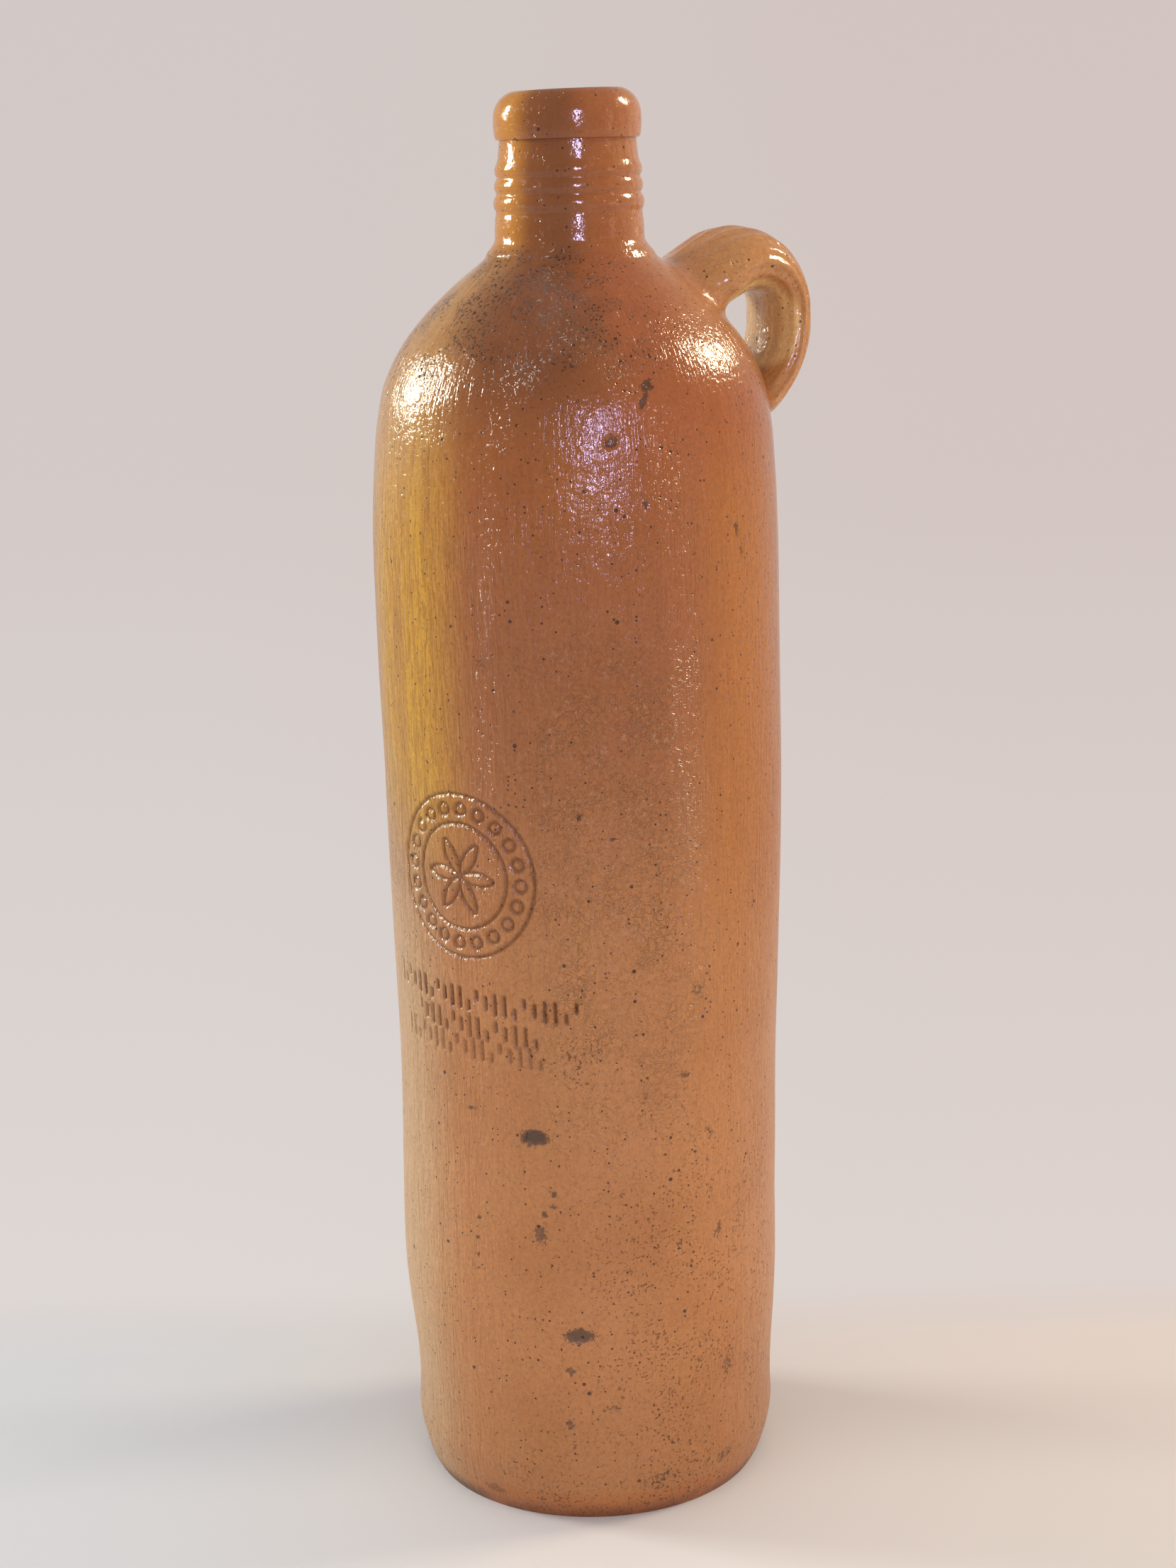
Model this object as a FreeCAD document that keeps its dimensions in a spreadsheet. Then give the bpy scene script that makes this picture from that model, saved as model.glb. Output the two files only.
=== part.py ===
import FreeCAD, Part
import math
import os
import Sketcher

# A one-litre mineral water bottle of salt-glazed stoneware, fired as one piece.
# Wall and neck are thrown on the wheel, so they are revolved outlines with a revolved hollow.
# The strap handle is pulled by hand: a lofted oval that leaves the shoulder beside the
# collar, bends over a finger's gap and is pressed back on where the wall begins.
# +Z is up, the origin is the middle of the flat foot, and the handle points along +X.
# Lengths are millimetres and angles are degrees.

SIZES = {
    # outside of the thrown body: widest at the belly, narrower at the waist, heel and foot
    "belly_radius": 43.0,
    "belly_height": 197.0,
    "waist_inset": 1.6,
    "waist_height": 90.0,
    "skirt_height": 45.0,
    "heel_inset": 1.3,
    "heel_height": 10.0,
    "foot_bevel": 3.1,
    # shoulder: a dome about the bottle's axis, then a straight slope that runs in under
    # the neck; the slope ends a little above the height of the dome's own top
    "dome_inset": 1.2,
    "dome_rise": 29.5,
    "slope_end_radius": 14.0,
    "slope_lift": 0.6,
    # neck: a sloped collar on the shoulder, then the rings of the thrower's fingers
    "collar_radius": 17.4,
    "collar_sink": 2.6,
    "collar_height": 3.0,
    "neck_foot_radius": 15.6,
    "neck_radius": 15.1,
    "neck_plain": 6.2,
    "ring_pitch": 3.3,
    "ring_round": 5.2,
    "ring_step": 0.12,
    "throat_radius": 14.05,
    "throat_height": 4.1,
    # lip: a rolled band with a crisp lower edge and a rounded top
    "lip_radius": 15.2,
    "lip_height": 10.5,
    "lip_under": 0.8,
    "lip_land": 0.7,
    "lip_ease": 0.5,
    # hollow: an even wall, a thick base and a straight bore for the stopper
    "wall": 6.0,
    "base": 9.0,
    "floor_bevel": 9.0,
    "bore_radius": 9.5,
    "bore_blend": 6.0,
    "shoulder_pitch": 42.0,
    # centre line of the strap: straight rise, tight bend, short drop, wider sweep back
    # the bend's centre stands off the dome, at a bearing above the dome's own centre
    "strap_stand": 6.1,
    "strap_bearing": 35.6,
    "strap_bend": 10.2,
    "strap_rise_angle": 30.0,
    "strap_drop": 2.8,
    "strap_sweep": 20.0,
    "strap_tail_angle": 72.0,
    "root_length": 14.0,
    # section of the strap: where the fingers go through, at its root and at its tail
    "strap_width": 24.0,
    "strap_thickness": 9.3,
    "root_width": 29.5,
    "root_thickness": 14.8,
    "tail_width": 26.0,
    # soft clay wiped into the corners of both joins
    "root_fillet": 3.5,
    "tail_fillet": 1.2,
}

RING_COUNT = 3
# sections of the strap along its straight root, its bend and its sweep
ROOT_STEPS = 3
BEND_STEPS = 6
SWEEP_STEPS = 5

# heights above the foot, each stacked on the one below it
DOME_CENTRE = "belly_height + dome_rise"
SLOPE_END = DOME_CENTRE + " + belly_radius - dome_inset + slope_lift"
COLLAR_FOOT = SLOPE_END + " - collar_sink"
NECK_FOOT = COLLAR_FOOT + " + collar_height"
FIRST_RING = NECK_FOOT + " + neck_plain"
LIP_FOOT = FIRST_RING + " + %d * ring_pitch + throat_height" % RING_COUNT
TOP = LIP_FOOT + " + lip_height"
# the hollow's outline runs past the lip by a collar's height, so the cut is open there
PAST_TOP = TOP + " + collar_height"

DOME_RADIUS = "belly_radius - dome_inset"
STRAP_STAND = "( " + DOME_RADIUS + " + strap_stand )"
STRAP_LEVEL = DOME_CENTRE + " + " + STRAP_STAND + " * sin( strap_bearing * 1 deg )"
STRAP_REACH = STRAP_STAND + " * cos( strap_bearing * 1 deg ) + strap_bend"
WAIST_RADIUS = "belly_radius - waist_inset"
HEEL_RADIUS = WAIST_RADIUS + " - heel_inset"
RIM_RADIUS = "( bore_radius + lip_land )"
LIP_ROUND = "( lip_radius - bore_radius - lip_land )"

# how a sketch names the ends and the centre of an edge, its own axes and its origin
START, END, CENTRE = 1, 2, 3
ACROSS_AXIS, UP_AXIS = -1, -2
ORIGIN = (ACROSS_AXIS, START)

Vector = FreeCAD.Vector
doc = FreeCAD.newDocument("bottle")
sheet = doc.addObject("Spreadsheet::Sheet", "Sizes")
for row, (alias, size) in enumerate(SIZES.items(), start=1):
    sheet.set("A%d" % row, alias)
    sheet.set("B%d" % row, str(size))
    sheet.setAlias("B%d" % row, alias)
doc.recompute()


def formula(text):
    """A formula in plain size names, as an expression that reads the sheet."""
    words = text.replace("(", "( ").replace(")", " )").split()
    return " ".join("Sizes." + word if word in SIZES else word for word in words)


def value(text):
    """The present value of a formula in plain size names."""
    result = sheet.evalExpression(formula(text))
    return float(getattr(result, "Value", result))


def spot(across, up):
    """A point of an outline, from the formulas of its radius and its height."""
    return value(across), value(up)


def level_centre(start, end, height):
    """Centre, at a given height, of the arc through two points."""
    middle = ((start[0] + end[0]) / 2, (start[1] + end[1]) / 2)
    slope = (end[1] - start[1]) / (end[0] - start[0])
    return middle[0] - slope * (height - middle[1]), height


def bead_centre(start, end, radius):
    """Centre, on the axis's side, of an arc of given radius through two points."""
    chord = math.dist(start, end)
    depth = math.sqrt(radius * radius - chord * chord / 4)
    inward = (end[1] - start[1]) / chord
    along = (end[0] - start[0]) / chord
    return (start[0] + end[0]) / 2 - depth * inward, (start[1] + end[1]) / 2 + depth * along


def belly_centre(belly, centre, radius):
    """Centre of the arc that stands upright at the belly and holds the dome."""
    rise = centre[1] - belly[1]
    inset = belly[0] - centre[0] - radius
    return belly[0] - radius - (rise * rise + inset * inset) / (2 * inset), belly[1]


def grazing_point(centre, radius, end):
    """Where a straight line from outside, coming down to a circle, just touches it."""
    upward = math.atan2(end[1] - centre[1], end[0] - centre[0])
    turn = upward - math.acos(radius / math.dist(centre, end))
    return centre[0] + radius * math.cos(turn), centre[1] + radius * math.sin(turn)


def touch(centre, radius, far_centre):
    """Where a circle meets the larger one that holds it."""
    share = radius / math.dist(centre, far_centre)
    return (centre[0] + share * (centre[0] - far_centre[0]),
            centre[1] + share * (centre[1] - far_centre[1]))


class Outline:
    """A sketch on the body's YZ plane: one closed line, drawn edge by edge from formulas."""

    def __init__(self, body, name):
        plane = [item for item in body.Origin.OriginFeatures if item.Role == "YZ_Plane"][0]
        self.sketch = body.newObject("Sketcher::SketchObject", name)
        self.sketch.AttachmentSupport = [(plane, "")]
        self.sketch.MapMode = "FlatFace"
        self.driven = 0
        self.first = None
        self.last = None

    def constrain(self, kind, *refs):
        return self.sketch.addConstraint(Sketcher.Constraint(kind, *refs))

    def drive(self, kind, refs, text):
        """A dimension that follows a formula of the sheet's sizes."""
        size = value(text)
        index = self.constrain(kind, *refs, math.radians(size) if kind == "Angle" else size)
        self.driven += 1
        name = "size_%d" % self.driven
        self.sketch.renameConstraint(index, name)
        self.sketch.setExpression("Constraints." + name, formula(text))

    def place(self, edge, end, across, up):
        """Put an end or a centre of an edge at a radius and a height."""
        if across == "0":
            self.constrain("PointOnObject", edge, end, UP_AXIS)
        else:
            self.drive("DistanceX", (*ORIGIN, edge, end), across)
        if up == "0":
            self.constrain("PointOnObject", edge, end, ACROSS_AXIS)
        else:
            self.drive("DistanceY", (*ORIGIN, edge, end), up)

    def line(self, start, end):
        return self.sketch.addGeometry(Part.LineSegment(Vector(*start, 0), Vector(*end, 0)))

    def arc(self, centre, start, end):
        """An anticlockwise arc about a centre, from one point to another."""
        angles = [math.atan2(p[1] - centre[1], p[0] - centre[0]) for p in (start, end)]
        circle = Part.Circle(Vector(*centre, 0), Vector(0, 0, 1), math.dist(centre, start))
        return self.sketch.addGeometry(Part.ArcOfCircle(circle, *angles))

    def begin(self, across, up):
        """The point that the outline starts from and comes back to."""
        self.here = spot(across, up)
        self.origin = (across, up)

    def follow(self, edge, there):
        """Join an edge to the one before it and stand at its far end."""
        if self.last is None:
            self.first = edge
            self.place(edge, START, *self.origin)
        else:
            self.constrain("Coincident", self.last, END, edge, START)
        self.last = edge
        self.here = there

    def line_to(self, across, up):
        there = spot(across, up)
        edge = self.line(self.here, there)
        self.follow(edge, there)
        self.place(edge, END, across, up)

    def arc_to(self, across, up, upright):
        """An arc that stands upright at its START or its END."""
        there = spot(across, up)
        height = self.here[1] if upright == START else there[1]
        edge = self.arc(level_centre(self.here, there, height), self.here, there)
        self.follow(edge, there)
        self.place(edge, END, across, up)
        self.constrain("Horizontal", edge, CENTRE, edge, upright)

    def bead_to(self, across, up, radius):
        """An arc of a set radius that bulges outwards."""
        there = spot(across, up)
        edge = self.arc(bead_centre(self.here, there, value(radius)), self.here, there)
        self.follow(edge, there)
        self.place(edge, END, across, up)
        self.drive("Radius", (edge,), radius)

    def dome_to(self, radius, there):
        """From the belly: an arc that is upright there, then the dome.

        The dome's far end is left free, for the next edge to fix.
        """
        centre = spot("0", DOME_CENTRE)
        high_centre = belly_centre(self.here, centre, value(radius))
        meeting = touch(centre, value(radius), high_centre)
        high = self.arc(high_centre, self.here, meeting)
        self.follow(high, meeting)
        self.constrain("Horizontal", high, CENTRE, high, START)
        dome = self.arc(centre, meeting, there)
        self.constrain("Tangent", high, END, dome, START)
        self.place(dome, CENTRE, "0", DOME_CENTRE)
        self.drive("Radius", (dome,), radius)
        self.last = dome
        self.here = there

    def close(self):
        """Back to the start in one straight line."""
        edge = self.line(self.here, spot(*self.origin))
        self.constrain("Coincident", self.last, END, edge, START)
        self.constrain("Coincident", edge, END, self.first, START)


def draw_wall(body):
    """The thrown wall: foot, skirt, waist, belly, dome and slope, then the axis."""
    out = Outline(body, "WallOutline")
    out.begin("0", "0")
    out.line_to(HEEL_RADIUS + " - foot_bevel", "0")
    out.line_to(HEEL_RADIUS, "heel_height")
    out.line_to(WAIST_RADIUS, "skirt_height")
    out.line_to(WAIST_RADIUS, "waist_height")
    out.arc_to("belly_radius", "belly_height", END)

    slope_end = spot("slope_end_radius", SLOPE_END)
    handover = grazing_point(spot("0", DOME_CENTRE), value(DOME_RADIUS), slope_end)
    out.dome_to(DOME_RADIUS, handover)
    slope = out.line(handover, slope_end)
    out.constrain("Tangent", out.last, END, slope, START)
    out.place(slope, END, "slope_end_radius", SLOPE_END)
    out.last = slope
    out.here = slope_end
    out.line_to("0", SLOPE_END)
    out.close()
    return out.sketch


def draw_neck(body):
    """The neck: a collar that stands in the slope, throwing rings, throat and lip."""
    out = Outline(body, "NeckOutline")
    out.begin("0", COLLAR_FOOT + " - collar_height")
    out.line_to("collar_radius", COLLAR_FOOT + " - collar_height")
    out.line_to("collar_radius", COLLAR_FOOT)
    out.line_to("neck_foot_radius", NECK_FOOT)
    out.line_to("neck_radius", FIRST_RING)
    for number in range(1, RING_COUNT + 1):
        height = FIRST_RING + " + %d * ring_pitch" % number
        out.bead_to("neck_radius - %d * ring_step" % number, height, "ring_round")
    out.line_to("throat_radius", LIP_FOOT)

    out.line_to("lip_radius - lip_under", LIP_FOOT)
    out.line_to("lip_radius", LIP_FOOT + " + lip_under")
    out.line_to("lip_radius", TOP + " - " + LIP_ROUND)
    out.arc_to(RIM_RADIUS, TOP, START)
    out.line_to("0", TOP)
    out.close()
    return out.sketch


def draw_hollow(body):
    """The inside: the wall's outline moved in by its thickness, up to the straight bore."""
    out = Outline(body, "HollowOutline")
    out.begin("0", "base")
    out.line_to(WAIST_RADIUS + " - wall - floor_bevel", "base")
    out.line_to(WAIST_RADIUS + " - wall", "base + floor_bevel")
    out.line_to(WAIST_RADIUS + " - wall", "waist_height")
    out.arc_to("belly_radius - wall", "belly_height", END)

    # a straight stretch leans at the shoulder's pitch, from the dome to the bore's blend
    pitch = math.radians(value("shoulder_pitch"))
    lean = (math.sin(pitch), math.cos(pitch))
    centre = spot("0", DOME_CENTRE)
    inner_dome = DOME_RADIUS + " - wall"
    radius = value(inner_dome)
    low = (centre[0] + radius * lean[0], centre[1] + radius * lean[1])
    blend = value("bore_blend")
    bore = value("bore_radius")
    length = (low[0] + blend * lean[0] - bore - blend) / lean[1]
    high = (low[0] - length * lean[1], low[1] + length * lean[0])
    blend_centre = (high[0] + blend * lean[0], high[1] + blend * lean[1])

    out.dome_to(inner_dome, low)
    slope = out.line(low, high)
    out.constrain("Tangent", out.last, END, slope, START)
    out.drive("Angle", (slope,), "180 - shoulder_pitch")
    # the blend bends the other way, so its arc runs from the bore back to the slope
    throat = (bore, blend_centre[1])
    ease = out.arc(blend_centre, throat, high)
    out.constrain("Tangent", slope, END, ease, END)
    out.drive("Radius", (ease,), "bore_blend")
    top = spot("bore_radius", PAST_TOP)
    bore_wall = out.line(throat, top)
    out.constrain("Tangent", ease, START, bore_wall, START)
    out.constrain("Vertical", bore_wall)
    out.place(bore_wall, END, "bore_radius", PAST_TOP)
    out.last = bore_wall
    out.here = top
    out.line_to("0", PAST_TOP)
    out.close()
    return out.sketch


def draw_oval(body, name, across, up, turn, width, thickness):
    """One oval section of the strap, square to its path, all from formulas."""
    out = Outline(body, name)
    sketch = out.sketch
    tilt = FreeCAD.Rotation(Vector(1, 0, 0), value(turn))
    sketch.AttachmentOffset = FreeCAD.Placement(Vector(0, value(up), value(across)), tilt)
    sketch.setExpression("AttachmentOffset.Base.y", formula(up))
    sketch.setExpression("AttachmentOffset.Base.z", formula(across))
    sketch.setExpression("AttachmentOffset.Rotation.Angle", formula(turn))
    side = Vector(value(width) / 2, 0, 0)
    crest = Vector(0, value(thickness) / 2, 0)
    ellipse = sketch.addGeometry(Part.Ellipse(side, crest, Vector()))
    sketch.exposeInternalGeometry(ellipse)
    long_axis = ellipse + 1
    short_axis = ellipse + 2
    out.constrain("Coincident", ellipse, CENTRE, *ORIGIN)
    out.constrain("Horizontal", long_axis)
    out.drive("Distance", (long_axis,), width)
    out.drive("Distance", (short_axis,), thickness)
    return sketch


def pull_strap(body):
    """The strap: ovals from inside the shoulder, over the bend and back into the wall."""
    reach = STRAP_REACH
    level = STRAP_LEVEL
    rise = "( 90 + strap_rise_angle )"
    sections = []

    def station(across, up, turn, root, tail):
        """An oval with a share of the root's extra size and of the tail's extra width."""
        width = "strap_width + ( root_width - strap_width ) * %.3f" % (root * root)
        width += " + ( tail_width - strap_width ) * %.3f" % tail
        thickness = "strap_thickness + ( root_thickness - strap_thickness ) * %.3f" % root
        name = "StrapOval%d" % (len(sections) + 1)
        sections.append(draw_oval(body, name, across, up, turn, width, thickness))

    def on_bend(angle):
        """Formulas of a point on the upper bend, at an angle above its outermost point."""
        across = reach + " - strap_bend + strap_bend * cos( %s * 1 deg )" % angle
        return across, level + " + strap_bend * sin( %s * 1 deg )" % angle

    def on_sweep(angle):
        """Formulas of a point on the lower sweep, at an angle below its outermost point."""
        across = reach + " - strap_sweep + strap_sweep * cos( %s * 1 deg )" % angle
        return across, level + " - strap_drop - strap_sweep * sin( %s * 1 deg )" % angle

    across, up = on_bend(rise)
    for step in range(ROOT_STEPS, 0, -1):
        back = "%.4f * root_length" % (step / ROOT_STEPS)
        station(across + " - %s * cos( strap_rise_angle * 1 deg )" % back,
                up + " - %s * sin( strap_rise_angle * 1 deg )" % back,
                "0 - strap_rise_angle", 1, 0)
    for step in range(BEND_STEPS, 0, -1):
        share = step / BEND_STEPS
        angle = "( %.4f * %s )" % (share, rise)
        swell = (1 - math.cos(math.pi * share)) / 2
        station(*on_bend(angle), "90 - " + angle, swell, 0)
    # one oval stands half way down the drop, where the strap is farthest out
    station(reach, level + " - strap_drop / 2", "90", 0, 0)
    for step in range(1, SWEEP_STEPS + 1):
        share = step / SWEEP_STEPS
        angle = "( %.4f * strap_tail_angle )" % share
        station(*on_sweep(angle), "90 + " + angle, 0, share * share)

    strap = body.newObject("PartDesign::AdditiveLoft", "PulledStrap")
    strap.Profile = (sections[0], [""])
    strap.Sections = [(section, [""]) for section in sections[1:]]
    return strap


def join_edges(shape, upper):
    """Names of the edges where the strap meets the thrown body, at its upper or lower join."""
    level = value(STRAP_LEVEL + " - strap_bend / 2")
    names = []
    for number, edge in enumerate(shape.Edges, start=1):
        faces = shape.ancestorsOfType(edge, Part.Face)
        pulled = [isinstance(face.Surface, Part.BSplineSurface) for face in faces]
        if sorted(pulled) == [False, True] and (edge.BoundBox.Center.z > level) == upper:
            names.append("Edge%d" % number)
    return names


def mouth_edges(shape):
    """Name of the edge between the bore and the rim of the lip."""
    names = []
    for number, edge in enumerate(shape.Edges, start=1):
        if isinstance(edge.Curve, Part.Circle):
            at_bore = abs(edge.Curve.Radius - value("bore_radius")) < 0.001
            at_top = abs(edge.Curve.Center.z - value(TOP)) < 0.001
            if at_bore and at_top:
                names.append("Edge%d" % number)
    return names


def revolve(body, kind, name, outline):
    """A full turn of an outline about the bottle's axis."""
    feature = body.newObject(kind, name)
    feature.Profile = outline
    feature.ReferenceAxis = (outline, ["V_Axis"])
    feature.Angle = 360
    doc.recompute()
    return feature


def soften(body, kind, name, base, edges, size):
    """Round or bevel some edges of a feature by a formula."""
    feature = body.newObject("PartDesign::" + kind, name)
    feature.Base = (base, edges)
    extent = "Radius" if kind == "Fillet" else "Size"
    setattr(feature, extent, value(size))
    feature.setExpression(extent, formula(size))
    doc.recompute()
    return feature


def make_bottle():
    """Throw the wall, pull the strap onto it, add the neck, open the hollow and ease the mouth."""
    body = doc.addObject("PartDesign::Body", "Bottle")
    body.Label = "bottle"
    thrown = revolve(body, "PartDesign::Revolution", "ThrownWall", draw_wall(body))
    strap = pull_strap(body)
    doc.recompute()
    upper = join_edges(strap.Shape, True)
    root = soften(body, "Fillet", "RootFillet", strap, upper, "root_fillet")
    lower = join_edges(root.Shape, False)
    tail = soften(body, "Fillet", "TailFillet", root, lower, "tail_fillet")
    neck = revolve(body, "PartDesign::Revolution", "ThrownNeck", draw_neck(body))
    hollow = revolve(body, "PartDesign::Groove", "Hollow", draw_hollow(body))
    ease = "min( lip_ease ; 0.8 * lip_land )"
    mouth = soften(body, "Chamfer", "MouthEase", hollow, mouth_edges(hollow.Shape), ease)
    body.Tip = mouth
    doc.recompute()
    print("clay of the thrown wall, solid: %.0f cubic mm" % thrown.Shape.Volume)
    print("strap and its joins add: %.0f cubic mm" % (tail.Shape.Volume - thrown.Shape.Volume))
    print("neck adds: %.0f cubic mm" % (neck.Shape.Volume - tail.Shape.Volume))
    print("hollow takes out: %.0f cubic mm" % (neck.Shape.Volume - hollow.Shape.Volume))
    return body


def check(body):
    """Stop before anything is written if a feature failed or the solid isn't sound."""
    failed = [item.Name for item in doc.Objects if {"Invalid", "Error"} & set(item.State)]
    if failed:
        raise RuntimeError("failed: " + ", ".join(failed))
    shape = body.Shape
    if shape.isNull() or not shape.isValid() or len(shape.Solids) != 1:
        raise RuntimeError(body.Label + " is not one sound solid")
    inside = value("base + floor_bevel")
    if shape.Solids[0].isInside(Vector(0, 0, inside), 0.001, True):
        raise RuntimeError(body.Label + " has not been hollowed")


bottle = make_bottle()
check(bottle)
os.makedirs("parts", exist_ok=True)
bottle.Shape.exportStep("parts/%s.step" % bottle.Label)
box = bottle.Shape.BoundBox
print("%s: %.1f x %.1f x %.1f mm" % (bottle.Label, box.XLength, box.YLength, box.ZLength))
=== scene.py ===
# %% [markdown]
# A stoneware mineral water bottle in Blender
#
# The real bottle is one piece of clay. It was thrown on a wheel, a strap handle was pulled
# and pressed on, a seal was pushed into the wet wall, and the kiln was fed with salt, which
# gave the orange clay its glassy skin. These cells go through the same steps: throw, pull,
# join, press the seal, glaze, and set the bottle in soft light. Lengths are millimetres in
# the code and turn into Blender's metres where a mesh is made.

# %% Load the fixed frame
import math

import bmesh
import bpy
import numpy as np
from mathutils import Matrix, Vector, noise
from mathutils.bvhtree import BVHTree
from mathutils.kdtree import KDTree


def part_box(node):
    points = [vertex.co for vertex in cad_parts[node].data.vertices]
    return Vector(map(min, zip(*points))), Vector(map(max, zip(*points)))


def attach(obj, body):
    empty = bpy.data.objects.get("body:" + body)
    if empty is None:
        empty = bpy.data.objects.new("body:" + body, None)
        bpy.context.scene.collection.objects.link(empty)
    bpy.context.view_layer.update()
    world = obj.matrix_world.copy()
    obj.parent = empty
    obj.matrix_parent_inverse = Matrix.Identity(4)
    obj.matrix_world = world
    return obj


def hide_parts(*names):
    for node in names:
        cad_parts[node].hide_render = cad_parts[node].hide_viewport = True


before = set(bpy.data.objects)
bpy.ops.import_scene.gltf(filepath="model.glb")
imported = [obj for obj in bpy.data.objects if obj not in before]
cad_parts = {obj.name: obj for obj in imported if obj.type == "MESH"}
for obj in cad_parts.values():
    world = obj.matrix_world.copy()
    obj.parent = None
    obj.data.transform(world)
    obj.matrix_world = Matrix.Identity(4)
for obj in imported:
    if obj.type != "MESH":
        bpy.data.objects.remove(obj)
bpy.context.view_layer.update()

MM = 0.001
high = [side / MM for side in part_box("bottle")[1]]
print("the bottle stands %.1f mm tall and reaches %.1f mm out" % (high[2], high[0]))

# %% [markdown]
# The camera comes first, because every later choice is judged through it. A phone stood
# a little over half a metre away, level with the lip, and looked down by 13 degrees.
# Its focal length is given in the photo's own pixels, which the sensor's size turns into
# millimetres. The phone leaned by about a degree, so the bottle leans in the frame.

# %% Camera
PHOTO_HEIGHT = 2212
FOCAL_PIXELS = 3700
SENSOR = 36.0
CAMERA_AZIMUTH = math.radians(-25.0)
CAMERA_DISTANCE = 551.9
CAMERA_HEIGHT = 285.6
PITCH = math.radians(13.382)
ROLL = math.radians(-1.2106)
YAW = math.radians(0.1428)


def compass(azimuth):
    """The level direction at an azimuth: zero is towards -Y, and it grows towards +X."""
    return Vector((math.sin(azimuth), -math.cos(azimuth), 0))


heading = -compass(CAMERA_AZIMUTH - YAW)
sideways = heading.cross(Vector((0, 0, 1)))
forward = heading * math.cos(PITCH) - Vector((0, 0, math.sin(PITCH)))
upward = sideways.cross(forward)
right_edge = sideways * math.cos(ROLL) + upward * math.sin(ROLL)
top_edge = upward * math.cos(ROLL) - sideways * math.sin(ROLL)


def as_object(data, name):
    """Put a mesh, a lamp or a camera into the scene."""
    piece = bpy.data.objects.new(name, data)
    bpy.context.scene.collection.objects.link(piece)
    return piece


camera_data = bpy.data.cameras.new("camera")
camera_data.sensor_width = SENSOR
camera_data.lens = SENSOR * FOCAL_PIXELS / PHOTO_HEIGHT
camera = as_object(camera_data, "camera")
turn = Matrix((right_edge, top_edge, -forward)).transposed()
phone = compass(CAMERA_AZIMUTH) * CAMERA_DISTANCE + Vector((0, 0, CAMERA_HEIGHT))
camera.matrix_world = Matrix.Translation(phone * MM) @ turn.to_4x4()
bpy.context.scene.camera = camera
print("lens %.1f mm, camera at" % camera_data.lens, [round(x, 3) for x in phone * MM])

# %% [markdown]
# A thrown pot is a turned outline. It could be a curve with a Screw modifier, but this wall
# is going to be pushed about by hand marks, so the outline is drawn as runs of points,
# smoothed, cut into rows and turned in code. Each run ends at a crisp corner: the foot, the
# collar, the throat and the edge of the mouth.

# %% Outline of the thrown body
# (radius, height) in mm, from the foot up over the lip and down inside
UNDERSIDE = [(0, 0.5), (20, 0.5), (33, 0.4), (35.6, 0.1), (36.6, 0)]
HEEL = [(36.6, 0), (37.6, 1.8), (38.6, 4.6), (38.85, 5.6), (39.15, 6.6), (39.7, 9.2), (40.1, 12.5)]
WALL = [(40.1, 12.5), (40.0, 18), (40.4, 27), (40.9, 34), (41.3, 44), (41.3, 70), (41.3, 95),
        (41.8, 114), (42.4, 140), (42.7, 165), (42.9, 186), (42.98, 197), (42.8, 208), (42.3, 220)]
SHOULDER = [(42.3, 220), (41.1, 233), (39.5, 241), (36.2, 247.8), (30.7, 254.6), (23.7, 261.3), (18.2, 265.6)]
COLLAR = [(18.2, 265.6), (17.4, 266.4), (17.1, 267.2), (16.5, 268), (15.6, 269.3), (15.3, 272.5)]
NECK = [(15.3, 272.5), (15.12, 274.4), (14.98, 275.5), (15.3, 276.3), (15.45, 277.3), (15.2, 278.3),
        (14.78, 279.1), (15.08, 279.7), (15.25, 280.6), (15.05, 281.5), (14.66, 282.4), (14.98, 283.0),
        (15.1, 283.9), (14.5, 285.7), (14.2, 287.9), (14.05, 289.9)]
LIP_UNDER = [(14.05, 289.9), (14.75, 290.1)]
LIP = [(14.75, 290.1), (14.98, 290.9), (15.12, 292.2), (15.15, 294), (15.0, 295.8), (14.5, 297.2),
       (13.5, 298.6), (12.3, 299.5), (11.2, 299.9), (10.3, 299.8), (9.7, 299.3), (9.45, 298.2)]
BORE = [(9.45, 298.2), (9.4, 285), (9.4, 270), (9.8, 266.8), (11.5, 264.3)]
INSIDE = [(11.5, 264.3), (24, 253), (30.5, 245.2), (34.2, 237), (35.7, 229), (36.8, 215), (37.0, 197),
          (36.0, 130), (35.4, 90), (35.4, 30), (35.2, 20), (31, 11.5), (24, 9.2), (12, 9), (0, 9)]


def smooth_run(points, per_span=24):
    """A Catmull-Rom curve through the points, spaced by the chord so that it never loops."""
    knots = [Vector(p) for p in points]
    knots = [2 * knots[0] - knots[1], *knots, 2 * knots[-1] - knots[-2]]
    curve = []
    for a, b, c, d in zip(knots, knots[1:], knots[2:], knots[3:]):
        ab, bc, cd = (b - a).length, (c - b).length, (d - c).length
        leave = ((b - a) / ab * bc + (c - b) / bc * ab) / (ab + bc) * bc
        arrive = ((c - b) / bc * cd + (d - c) / cd * bc) / (bc + cd) * bc
        for step in range(per_span):
            t = step / per_span
            curve.append(b * (2 * t**3 - 3 * t**2 + 1) + leave * (t**3 - 2 * t**2 + t)
                         + c * (3 * t**2 - 2 * t**3) + arrive * (t**3 - t**2))
    return np.array([tuple(p) for p in curve + [knots[-2]]])


def cut_rows(points, spacing):
    """The run's rows, evenly spaced along it, without its last point."""
    curve = smooth_run(points)
    along = np.concatenate([[0], np.cumsum(np.linalg.norm(np.diff(curve, axis=0), axis=1))])
    count = max(1, round(along[-1] / spacing))
    stops = np.linspace(0, along[-1], count + 1)[:-1]
    return np.column_stack([np.interp(stops, along, curve[:, k]) for k in (0, 1)])


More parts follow.
